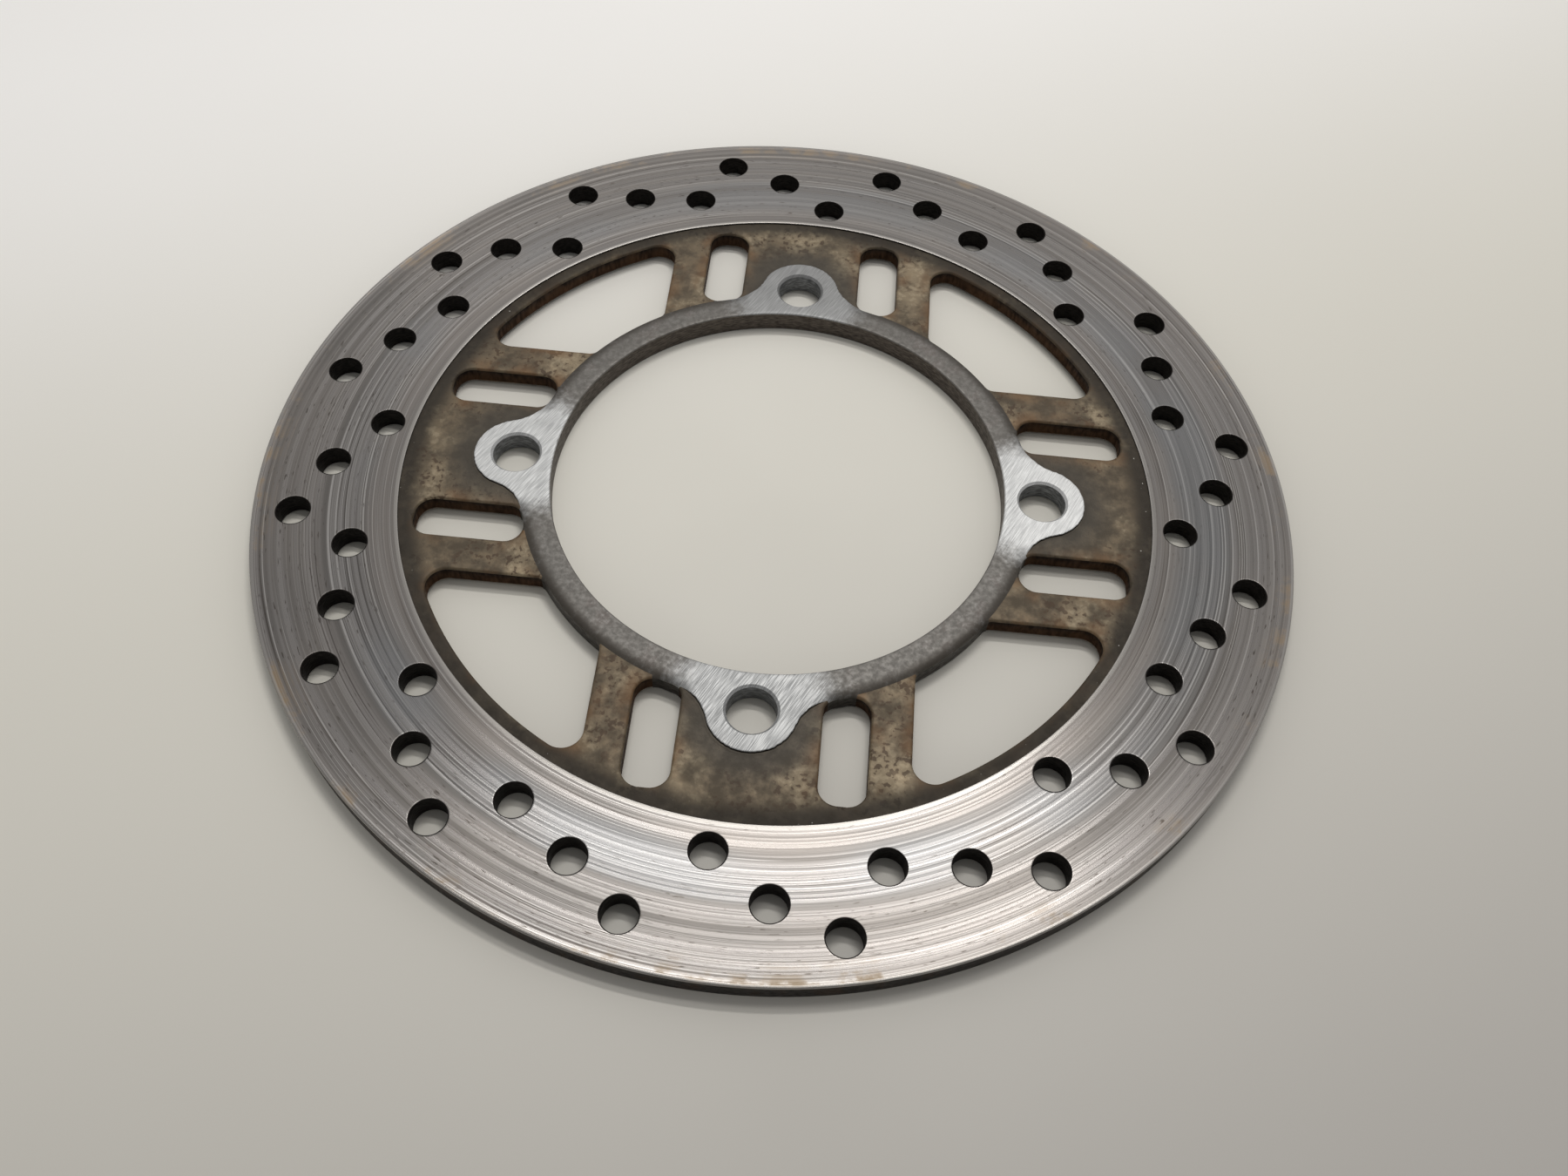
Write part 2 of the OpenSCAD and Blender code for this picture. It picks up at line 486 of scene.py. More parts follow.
class Sheet:
    """The whole disc seen from above, as one triangulation that is split between the pieces."""

    def __init__(self):
        self.pressed = pressed_outlines()
        self.bolts = [circle(BOLT_HOLE_R, 1, c, chord=0.45) for c in bolt_centres()]
        self.drilled = [circle(DRILL_R, 1, c, chord=0.42) for c in drilled_centres()]
        self.bore = circle(BORE_R, 1, chord=0.9)
        self.edge = ring(DISC_R, -1)
        self.flange, self.flange_seam = flange_outline_and_seam()
        self.rim_seam = rim_seam()
        self.triangulate()
        self.measure()
        self.name_regions()

    def triangulate(self):
        """Joins all outlines, the rows beside them and the fill into triangles."""
        band_seam = ring(BAND_R, 1)
        loops = [*self.pressed, *self.bolts, *self.drilled, self.bore, self.edge]
        loops += [band_seam, self.flange_seam, self.rim_seam]
        rows = [offset(o, d) for o in self.pressed for d in (*fillet_steps(PRESSED_EDGE_R), PRESSED_ROW)]
        rows += [offset(o, d) for o in self.bolts for d in BOLT_ROWS]
        rows += [offset(o, d) for o in self.drilled for d in (*fillet_steps(DRILLED_EDGE_R), *DRILLED_ROWS)]
        rows += [offset(self.bore, d) for d in fillet_steps(BORE_EDGE_R)]
        rows += [offset(self.edge, d) for d in fillet_steps(BAND_EDGE_R)]
        rows += [offset(band_seam, d) for d in (SEAM_ROW, *fillet_steps(SEAM_EDGE_R))]
        fixed = np.vstack([o[:, :2] for o in loops] + rows)
        edges_tree = tree_of(np.vstack([finely(o) for o in self.pressed]))
        steps = (*fillet_steps(LUG_EDGE_R), *FLANGE_ROWS)
        flange_rows = np.vstack([offset(self.flange, d) for d in steps])
        flange_rows = flange_rows[distances(flange_rows, edges_tree) > FLANGE_ROW_CLEARANCE]
        seeds = np.vstack([fixed, flange_rows, band_rings()])
        fill = lattice(FLANGE_LATTICE, BOLT_PITCH_R + LUG_R, BORE_R, seeds)
        seeds = np.vstack([seeds, fill[inside(fill, self.flange)]])
        seeds = np.vstack([seeds, lattice(WEB_LATTICE, BAND_R, WEB_LATTICE_FROM, seeds)])
        edges, first = [], 0
        for loop in loops:
            count = len(loop)
            edges += [(first + n, first + (n + 1) % count) for n in range(count)]
            first += count
        made = delaunay_2d_cdt([Vector(p) for p in seeds], edges, [], 0, MERGE)
        self.places = np.array(made[0])
        self.triangles = np.array(made[2])

    def measure(self):
        """Each point's distance from the edges that shape it."""
        self.from_edge = distances(self.places, tree_of(np.vstack([finely(o) for o in self.pressed])))
        rows = np.vstack(self.pressed)
        self.normal_tree, self.normals = tree_of(rows[:, :2]), rows[:, 2:]
        self.from_flange = distances(self.places, tree_of(finely(self.flange)))
        self.from_flange[~inside(self.places, self.flange)] *= -1
        self.from_drilled = to_nearest(self.places, drilled_centres()) - DRILL_R
        self.from_bolt = to_nearest(self.places, bolt_centres()) - BOLT_HOLE_R
        self.radius = np.linalg.norm(self.places, axis=1)
        self.ground = groundness(self.places)

    def normal_at(self, point):
        """The normal of the pressed outline that is nearest to a point."""
        return self.normals[self.normal_tree.find((*point, 0))[1]]

    def name_regions(self):
        """Drops the triangles in the openings, and notes which CAD node each of the others belongs to."""
        middles = self.places[self.triangles].mean(1)
        empty = np.zeros(len(middles), bool)
        for outline in [*self.pressed, *self.bolts, *self.drilled, self.bore]:
            empty |= inside(middles, outline)
        self.triangles, middles = self.triangles[~empty], middles[~empty]
        radius = np.linalg.norm(middles, axis=1)
        turn = np.degrees(np.arctan2(middles[:, 1], middles[:, 0]))
        names = np.array(["web_right", "web_top", "web_left", "web_bottom"], dtype="<U16")
        self.region = names[np.round(turn / QUARTER).astype(int) % LUGS]
        self.region[~inside(middles, self.rim_seam)] = "inner_rim"
        self.region[radius > BAND_R] = "braking_band"
        self.region[inside(middles, self.flange_seam)] = "hub_flange"


# ---------------------------------------------------------------- heights
# The last three give the height of a face over the disc's middle plane, at every point of the sheet.
# Side is 1 for the outer face and -1 for the hub's.


def unevenness(places, size, amount, side):
    """Gentle humps and hollows of this size, up to the amount high."""
    ups = [noise.noise(Vector((x / size, y / size, SIDE_SHIFT * side))) for x, y in places]
    return amount * np.array(ups)


def wear(radius, side):
    """How far the pads have worn the band, in rings that run right round it."""
    pick = random.Random(GROOVE_SEEDS[side])
    inner = smooth((radius - BAND_R - INNER_LIP) / LIP_FADE)
    outer = smooth((DISC_R - OUTER_LIP - radius) / LIP_FADE)
    worn = WORN_DEPTH * inner * outer
    for _ in range(GROOVES):
        at, width, depth = pick.uniform(*GROOVE_AT), pick.uniform(*GROOVE_WIDTH), pick.uniform(*GROOVE_DEPTH)
        worn += depth * np.exp(-(((radius - at) / width) ** 2))
    (deep, slow), (shallow, quick) = WAVES
    worn += deep * np.sin(radius * slow + side) + shallow * np.sin(radius * quick + 2)
    return worn


def band_height(sheet, side):
    height = BAND_TOP - MIDDLE - wear(sheet.radius, side)
    height -= fillet_drop(sheet.from_drilled, DRILLED_EDGE_R)
    height -= fillet_drop(DISC_R - sheet.radius, BAND_EDGE_R)
    return height - fillet_drop(sheet.radius - BAND_R, SEAM_EDGE_R)


def web_height(sheet, side):
    height = WEB_TOP - MIDDLE + unevenness(sheet.places, *WEB_ROUGH, side)
    foot = np.clip(1 + sheet.from_flange / LUG_FOOT, 0, 1) ** 2
    height += LUG_FOOT_RISE * foot * np.where(sheet.from_flange < 0, 1, 0) * sheet.ground
    return height - fillet_drop(sheet.from_edge, PRESSED_EDGE_R)


def flange_height(sheet, side):
    flat = sheet.ground if side > 0 else np.ones(len(sheet.places))
    depth = np.clip(sheet.from_flange, 0, None)
    shoulder = SHOULDER_DROP * np.clip(1 - depth / SHOULDER, 0, 1) ** SHOULDER_CURVE
    drop = (1 - flat) * shoulder + flat * fillet_drop(depth, LUG_EDGE_R)
    drop += (1 - flat) * (FLANGE_ROUGH[1] + unevenness(sheet.places, *FLANGE_ROUGH, side))
    drop += np.clip(BOLT_CHAMFER - sheet.from_bolt, 0, BOLT_CHAMFER)
    drop += fillet_drop(sheet.radius - BORE_R, BORE_EDGE_R)
    return FLANGE_TOP - MIDDLE - drop - fillet_drop(sheet.from_edge, PRESSED_EDGE_R)


# ---------------------------------------------------------------- pieces


def rim_edges(triangles):
    """The edges that belong to one triangle only, in the direction that has the steel on its left."""
    pairs = np.vstack([triangles[:, [0, 1]], triangles[:, [1, 2]], triangles[:, [2, 0]]])
    size = pairs.max() + 1
    codes = pairs[:, 0] * size + pairs[:, 1]
    back = pairs[:, 1] * size + pairs[:, 0]
    return pairs[~np.isin(codes, back)]


def wall_lean(sheet, points, share):
    """How far the points of a pressed wall lie back into the steel, at a share of the way up."""
    push = np.zeros((len(points), 2))
    for n in np.flatnonzero(sheet.from_edge[points] < ON_EDGE):
        x, y = sheet.places[points[n]]
        torn = TEAR_DEPTH * noise.noise(Vector((x / TEAR_SIZE, y / TEAR_SIZE, TEAR_RISE * share)))
        push[n] = sheet.normal_at((x, y)) * (WALL_HOLLOW * math.sin(math.pi * share) + torn + WALL_BACK)
    return push


def solid(sheet, made_from, height):
    """The closed solid between the two faces of a region.

    Gives its points, its faces' triangles, its walls' quads, and each point's number in the sheet.
    """
    triangles = sheet.triangles[sheet.region == made_from]
    used, corners = np.unique(triangles, return_inverse=True)
    corners = corners.reshape(-1, 3)
    flat = sheet.places[used]
    upper, lower = (MIDDLE + side * height(sheet, side)[used] for side in (1, -1))
    count = len(used)
    rim = rim_edges(corners)
    around = np.unique(rim)
    order = np.full(count, -1)
    order[around] = np.arange(len(around))
    points = [np.column_stack([flat, upper]), np.column_stack([flat, lower])]
    rows = [around]
    for n, share in enumerate(WALL_LEVELS):
        lean = wall_lean(sheet, used[around], share)
        level = share * upper[around] + (1 - share) * lower[around]
        points.append(np.column_stack([flat[around] + lean, level]))
        rows.append(2 * count + n * len(around) + np.arange(len(around)))
    rows.append(around + count)
    start, end = order[rim[:, 0]], order[rim[:, 1]]
    walls = [np.column_stack([low[start], low[end], high[end], high[start]])
             for high, low in zip(rows, rows[1:])]
    faces = np.vstack([corners, corners[:, ::-1] + count])
    behind = np.concatenate([used, used, *[used[around]] * len(WALL_LEVELS)])
    return np.vstack(points), faces, np.vstack(walls), behind


def piece(sheet, name, made_from, height, materials):
    """A region's solid, which stands for its CAD node. The materials are for its faces and its walls."""
    points, faces, walls, behind = solid(sheet, made_from, height)
    mesh = bpy.data.meshes.new(name)
    mesh.from_pydata(points * MM, [], [*faces.tolist(), *walls.tolist()])
    for material in materials:
        mesh.materials.append(material)
    index = np.concatenate([np.zeros(len(faces), int), np.ones(len(walls), int)])
    mesh.polygons.foreach_set("material_index", index)
    mesh.shade_smooth()
    mesh.set_sharp_from_angle(angle=math.radians(SHARP_DEG))
    for label, values in (("edge_mm", sheet.from_edge), ("flange_mm", sheet.from_flange),
                          ("drilled_mm", sheet.from_drilled)):
        layer = mesh.attributes.new(label, "FLOAT", "POINT")
        layer.data.foreach_set("value", np.clip(values[behind], -MEASURED, MEASURED).astype(np.float32))
    mesh.validate()
    built = bpy.data.objects.new(name, mesh)
    bpy.context.scene.collection.objects.link(built)
    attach(built, "root")
    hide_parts(made_from)


# ---------------------------------------------------------------- materials


class Shader:
    """A material's node tree, with short calls for the nodes that the surfaces share. Places are in mm."""

    # Shifts in the noise that give the hub's side and each layer of rings a pattern of their own
    HUB_SHIFT = 41.0
    LAYER_SHIFT = 17.3
    # The radius at which the length of the rings' features is true
    RINGS_AT = 100

    def __init__(self, name):
        self.material = bpy.data.materials.new(name)
        self.material.use_nodes = True
        self.tree = self.material.node_tree
        self.surface = self.tree.nodes["Principled BSDF"]
        coordinates = self.add("ShaderNodeTexCoord").outputs["Object"]
        self.place = self.vector("SCALE", coordinates, scale=1 / MM)
        x, y, z = self.split(self.place)
        flat = self.join(x, y, 0)
        self.radius = self.vector("LENGTH", flat)
        self.ray = self.vector("NORMALIZE", flat)
        self.height = z
        self.hub_side = self.math("LESS_THAN", z, MIDDLE)

    def add(self, kind, **settings):
        node = self.tree.nodes.new(kind)
        for name, value in settings.items():
            setattr(node, name, value)
        return node

    def feed(self, socket, source):
        """Links a socket to another, or sets its number, vector or colour."""
        if isinstance(source, bpy.types.NodeSocket):
            self.tree.links.new(source, socket)
        elif isinstance(source, tuple) and socket.type == "RGBA":
            socket.default_value = (*source, 1)
        else:
            socket.default_value = source

    def set(self, name, source):
        self.feed(self.surface.inputs[name], source)

    def math(self, operation, a, b=0.0):
        node = self.add("ShaderNodeMath", operation=operation)
        self.feed(node.inputs[0], a)
        self.feed(node.inputs[1], b)
        return node.outputs[0]

    def vector(self, operation, a, b=None, scale=None):
        node = self.add("ShaderNodeVectorMath", operation=operation)
        self.feed(node.inputs[0], a)
        if b is not None:
            self.feed(node.inputs[1], b)
        if scale is not None:
            self.feed(node.inputs["Scale"], scale)
        return node.outputs["Value" if operation == "LENGTH" else "Vector"]

    def split(self, a):
        node = self.add("ShaderNodeSeparateXYZ")
        self.feed(node.inputs[0], a)
        return node.outputs

    def join(self, x, y, z):
        node = self.add("ShaderNodeCombineXYZ")
        for socket, source in zip(node.inputs, (x, y, z)):
            self.feed(socket, source)
        return node.outputs[0]

    def attribute(self, name):
        return self.add("ShaderNodeAttribute", attribute_name=name).outputs["Fac"]

    def noise(self, at, size, detail=3.0, roughness=0.5):
        """Soft noise from 0 to 1 with features of this size."""
        node = self.add("ShaderNodeTexNoise")
        for name, value in (("Scale", 1 / size), ("Detail", detail), ("Roughness", roughness)):
            node.inputs[name].default_value = value
        self.feed(node.inputs["Vector"], at)
        return node.outputs[0]

    def arcs(self, width, length, layer, detail=2.0, roughness=0.5):
        """Noise drawn out round the disc, in features of this width and length."""
        side = self.math("MULTIPLY", self.hub_side, self.HUB_SHIFT)
        across = self.math("ADD", self.math("DIVIDE", self.radius, width), layer * self.LAYER_SHIFT)
        x, y, _ = self.split(self.vector("SCALE", self.ray, scale=self.RINGS_AT / length))
        return self.noise(self.join(self.math("ADD", across, side), x, y), 1, detail, roughness)

    def streaks(self, width, length, degrees, layer):
        """Noise drawn out along straight lines, at an angle to the X axis."""
        c, s = ray(degrees)
        x, y, _ = self.split(self.place)
        along = self.math("ADD", self.math("MULTIPLY", x, c), self.math("MULTIPLY", y, s))
        across = self.math("SUBTRACT", self.math("MULTIPLY", y, c), self.math("MULTIPLY", x, s))
        spot = self.join(self.math("DIVIDE", along, length), self.math("DIVIDE", across, width), layer)
        return self.noise(spot, 1, 2.0)

    def fade(self, value, start, end, low=0.0, high=1.0):
        """Low where value is at start, and high where it is at end, with a smooth change between."""
        node = self.add("ShaderNodeMapRange", interpolation_type="SMOOTHSTEP")
        for name, number in (("From Min", start), ("From Max", end), ("To Min", low), ("To Max", high)):
            node.inputs[name].default_value = number
        self.feed(node.inputs["Value"], value)
        return node.outputs["Result"]

    def mix(self, share, a, b):
        """Colour a, with this share of b in it."""
        node = self.add("ShaderNodeMix", data_type="RGBA")
        self.feed(node.inputs["Factor"], share)
        self.feed(node.inputs[6], a)
        self.feed(node.inputs[7], b)
        return node.outputs[2]

    def bump(self, height, depth, under=None):
        """A relief of height (0 to 1) times depth."""
        node = self.add("ShaderNodeBump")
        node.inputs["Distance"].default_value = depth * MM
        self.feed(node.inputs["Height"], height)
        if under is not None:
            self.feed(node.inputs["Normal"], under)
        return node.outputs["Normal"]

    def product(self, *shares):
        result = shares[0]
        for share in shares[1:]:
            result = self.math("MULTIPLY", result, share)
        return result

    def lug_share(self):
        """1 on and close round the lugs, and 0 away from them."""
        x, y, _ = self.split(self.place)
        x, y = self.math("ABSOLUTE", x), self.math("ABSOLUTE", y)
        along, aside = self.math("MAXIMUM", x, y), self.math("MINIMUM", x, y)
        gap = self.join(self.math("SUBTRACT", along, BOLT_PITCH_R), aside, 0)
        return self.fade(self.vector("LENGTH", gap), 23, 10)


STEEL = (0.226, 0.213, 0.205)
WORN_BRIGHT = (0.328, 0.313, 0.300)
# Dark wear, also used as painted shade towards the top web
DARK_WEAR_AND_SHADE = (0.123, 0.115, 0.108)
LIT_LINE = (0.44, 0.425, 0.41)
DARK_LINE = (0.060, 0.053, 0.048)
HEAT_TAN = (0.225, 0.202, 0.184)
HEAT_BLUE = (0.180, 0.190, 0.200)
PAD_FLECK = (0.057, 0.048, 0.041)
EDGE_STAIN = (0.205, 0.148, 0.088)
LIP_HIGHLIGHT = (0.344, 0.328, 0.307)
HOLE_RIM_SHADE = (0.028, 0.025, 0.023)


def band_face():
    """Steel polished by the pads: wear rings of many widths, heat tints, stains and dark specks, with painted
    shade towards the top web and on the drilled holes' rims, and a painted highlight along the band's lips.
    """
    s = Shader("ground_band")
    fine = s.arcs(0.28, 140, 1, detail=3)
    narrow = s.arcs(0.75, 300, 2)
    wide = s.arcs(2.1, 520, 3)
    broad = s.arcs(6.0, 700, 4)
    colour = s.mix(s.fade(wide, 0.38, 0.62), DARK_WEAR_AND_SHADE, STEEL)
    colour = s.mix(s.product(s.fade(narrow, 0.50, 0.60), 0.35), colour, WORN_BRIGHT)
    colour = s.mix(s.product(s.fade(fine, 0.52, 0.38), 0.8), colour, DARK_WEAR_AND_SHADE)
    lit_lines = s.fade(s.arcs(0.34, 170, 6, detail=1), 0.62, 0.67)
    colour = s.mix(s.product(lit_lines, 0.55), colour, LIT_LINE)
    dark_lines = s.fade(s.arcs(0.36, 120, 7, detail=1), 0.62, 0.67)
    colour = s.mix(s.product(dark_lines, 0.75), colour, DARK_LINE)
    cloud = s.noise(s.place, 42, 2)
    zone = s.math("ADD", s.radius, s.math("MULTIPLY", s.math("SUBTRACT", broad, 0.5), 26))
    warm = s.math("MAXIMUM", s.fade(s.radius, 93, 88), s.product(s.fade(zone, 99, 107), 0.6))
    colour = s.mix(s.product(warm, s.fade(cloud, 0.30, 0.58), 0.45), colour, HEAT_TAN)
    blue = s.product(s.fade(zone, 102, 96), s.fade(s.radius, 87, 92), s.fade(cloud, 0.62, 0.40), 0.4)
    colour = s.mix(blue, colour, HEAT_BLUE)
    # Painted shade: the band is darkened towards the top web, standing in for the dimmer reflection there
    _, y, _ = s.split(s.place)
    colour = s.mix(s.product(s.fade(y, 40, 108), 0.38), colour, DARK_WEAR_AND_SHADE)
    flecks = s.product(s.fade(s.arcs(0.34, 2.4, 5, detail=1), 0.66, 0.74), s.fade(broad, 0.4, 0.6), 0.8)
    colour = s.mix(flecks, colour, PAD_FLECK)
    outer = s.fade(s.radius, DISC_R - 6, DISC_R - 0.5)
    stain = s.product(outer, s.fade(s.noise(s.place, 11, 5, 0.65), 0.50, 0.64), s.fade(narrow, 0.3, 0.6), 0.7)
    colour = s.mix(stain, colour, EDGE_STAIN)
    # Painted highlight: a bright line along the band's unworn inner and outer lips
    inner_lip = s.fade(s.radius, BAND_R + 1.1, BAND_R + 0.7)
    outer_lip = s.fade(s.radius, DISC_R - 0.8, DISC_R - 0.5)
    colour = s.mix(s.product(s.math("MAXIMUM", inner_lip, outer_lip), 0.6), colour, LIP_HIGHLIGHT)
    # Painted shade: the rounded rims of the drilled holes are painted dark, so they show no bright edge
    shaded_hole_rim = s.fade(s.attribute("drilled_mm"), 0.30, 0.16)
    colour = s.mix(shaded_hole_rim, colour, HOLE_RIM_SHADE)
    s.set("Base Color", colour)
    s.set("Metallic", 1.0)
    rough = s.math("ADD", s.fade(wide, 0.3, 0.7, 0.32, 0.245), s.fade(fine, 0.3, 0.7, 0.07, -0.02))
    dulled = s.math("ADD", s.product(stain, 0.2), s.product(shaded_hole_rim, 0.35))
    s.set("Roughness", s.math("ADD", rough, dulled))
    s.set("Anisotropic", 0.75)
    s.set("Tangent", s.ray)
    relief = s.bump(fine, 0.009)
    relief = s.bump(narrow, 0.012, relief)
    s.set("Normal", s.bump(wide, 0.016, relief))
    return s.material


# These wall colours are near black partly as painted shade
HOLE_DARK = (0.004, 0.0035, 0.003)
HOLE_LIGHT = (0.022, 0.018, 0.015)
EDGE_DARK = (0.010, 0.009, 0.008)
EDGE_LIGHT = (0.036, 0.031, 0.027)
EDGE_RUST = (0.045, 0.025, 0.014)


def band_wall():
    """Walls of the drilled holes and the disc's outer edge: dark, with a machined grain and rust, and painted
    darker still as painted shade.
    """
    s = Shader("drilled_wall")
    outer = s.fade(s.radius, DISC_R - 1, DISC_R - 0.2)
    grain = s.noise(s.vector("MULTIPLY", s.place, (1, 1, 6)), 1.2, 3)
    hole = s.mix(s.fade(grain, 0.35, 0.7), HOLE_DARK, HOLE_LIGHT)
    edge = s.mix(s.fade(grain, 0.3, 0.65), EDGE_DARK, EDGE_LIGHT)
    edge = s.mix(s.product(s.fade(s.noise(s.place, 5, 3), 0.52, 0.7), 0.7), edge, EDGE_RUST)
    s.set("Base Color", s.mix(outer, hole, edge))
    s.set("Metallic", s.fade(outer, 0, 1, 0.2, 0.75))
    s.set("Specular IOR Level", 0.12)
    s.set("Roughness", s.fade(grain, 0.3, 0.7, 0.62, 0.42))
    s.set("Normal", s.bump(grain, 0.04))
    return s.material


OXIDE_DARK = (0.070, 0.051, 0.029)
OXIDE_LIGHT = (0.134, 0.099, 0.059)
OXIDE_PALE = (0.259, 0.202, 0.127)
OXIDE_RUBBED = (0.358, 0.293, 0.195)
RUST_SPOT = (0.055, 0.031, 0.014)
RUST_EDGE = (0.150, 0.078, 0.030)
NEAR_LUG_DARK = (0.045, 0.037, 0.026)
SOOT = (0.020, 0.015, 0.009)
CHIP = (0.533, 0.516, 0.473)


def web_face():
    """Brown oxide on the webs: mottled, pale where it has rubbed, rusty at edges, sooty near the band."""
    s = Shader("oxidised_steel")
    edge = s.attribute("edge_mm")
    to_lug = s.math("MULTIPLY", s.attribute("flange_mm"), -1.0)
    patch = s.noise(s.place, 13, 4, 0.55)
    mottle = s.noise(s.place, 3.6, 5, 0.6)
    speck = s.noise(s.vector("ADD", s.place, (31, 7, 0)), 1.3, 2, 0.5)
    pore = s.noise(s.place, 0.45, 2)
    colour = s.mix(s.fade(mottle, 0.36, 0.66), OXIDE_DARK, OXIDE_LIGHT)
    colour = s.mix(s.product(s.fade(patch, 0.47, 0.66), 0.85), colour, OXIDE_PALE)
    rubbed = s.product(s.fade(speck, 0.52, 0.64), s.fade(patch, 0.46, 0.62), 0.45)
    colour = s.mix(rubbed, colour, OXIDE_RUBBED)
    clusters = s.fade(s.noise(s.vector("ADD", s.place, (5, 60, 0)), 11, 2), 0.42, 0.56)
    spots = s.product(s.fade(speck, 0.45, 0.38), clusters, 0.85)
    colour = s.mix(spots, colour, RUST_SPOT)
    rust = s.product(s.fade(edge, 4.5, 0.2), s.fade(s.noise(s.place, 7, 4), 0.42, 0.64), 0.7)
    colour = s.mix(rust, colour, RUST_EDGE)
    # Darker close round the lugs
    near_lug_dark = s.product(s.fade(to_lug, 12, 2.0), s.lug_share(), 0.88)
    colour = s.mix(near_lug_dark, colour, NEAR_LUG_DARK)
    ragged = s.math("ADD", s.radius, s.math("MULTIPLY", s.math("SUBTRACT", mottle, 0.5), 4.0))
    soot = s.product(s.fade(ragged, 78.0, 82.5), 0.88)
    colour = s.mix(soot, colour, SOOT)
    chips = s.product(s.fade(s.noise(s.place, 0.8, 2), 0.72, 0.76), s.fade(s.noise(s.place, 9, 1), 0.5, 0.6))
    chips = s.product(chips, s.fade(s.radius, 80, 82))
    colour = s.mix(chips, colour, CHIP)
    s.set("Base Color", colour)
    s.set("Metallic", s.fade(mottle, 0.4, 0.7, 0.25, 0.45))
    s.set("Roughness", s.math("ADD", s.fade(mottle, 0.35, 0.7, 0.66, 0.5), s.product(soot, 0.12)))
    relief = s.bump(pore, 0.03)
    s.set("Normal", s.bump(mottle, 0.09, relief))
    return s.material


# Wall colours, darkened partly as painted shade
TORN_DARK = (0.024, 0.012, 0.006)
TORN_LIGHT = (0.058, 0.029, 0.014)
BURNISHED_AND_SHADED_DARK = (0.007, 0.004, 0.003)
BURNISHED_AND_SHADED_LIGHT = (0.019, 0.012, 0.008)
WALL_RUST = (0.085, 0.042, 0.018)


def web_wall():
    """The pressed walls: burnished dark above, torn and rusty brown below, and all painted darker still as
    painted shade.
    """
    s = Shader("pressed_wall")
    grain = s.noise(s.vector("MULTIPLY", s.place, (1, 1, 0.35)), 0.9, 4)
    blotch = s.noise(s.place, 7, 3)
    tear = s.math("ADD", s.height, s.math("MULTIPLY", s.math("SUBTRACT", blotch, 0.5), 1.2))
    low = s.mix(s.fade(grain, 0.3, 0.7), TORN_DARK, TORN_LIGHT)
    high = s.mix(s.fade(grain, 0.3, 0.7), BURNISHED_AND_SHADED_DARK, BURNISHED_AND_SHADED_LIGHT)
    colour = s.mix(s.fade(tear, 2.2, 4.2), low, high)
    colour = s.mix(s.product(s.fade(blotch, 0.5, 0.7), 0.4), colour, WALL_RUST)
    s.set("Base Color", colour)
    s.set("Metallic", 0.15)
    s.set("Specular IOR Level", 0.1)
    s.set("Roughness", s.fade(grain, 0.3, 0.7, 0.8, 0.55))
    s.set("Normal", s.bump(grain, 0.08))
    return s.material


GROUND_DARK = (0.310, 0.314, 0.314)
GROUND_LIGHT = (0.533, 0.537, 0.533)
SCRATCH = (0.688, 0.688, 0.679)
LUG_PAINTED_SHADE = (0.185, 0.185, 0.183)
LUG_PAINTED_HIGHLIGHT = (0.722, 0.722, 0.714)
RING_DARK = (0.112, 0.104, 0.094)
RING_LIGHT = (0.148, 0.139, 0.127)
RING_BROWN = (0.129, 0.107, 0.096)
RING_PALE = (0.292, 0.280, 0.258)
SHOULDER_SHADE = (0.052, 0.043, 0.033)


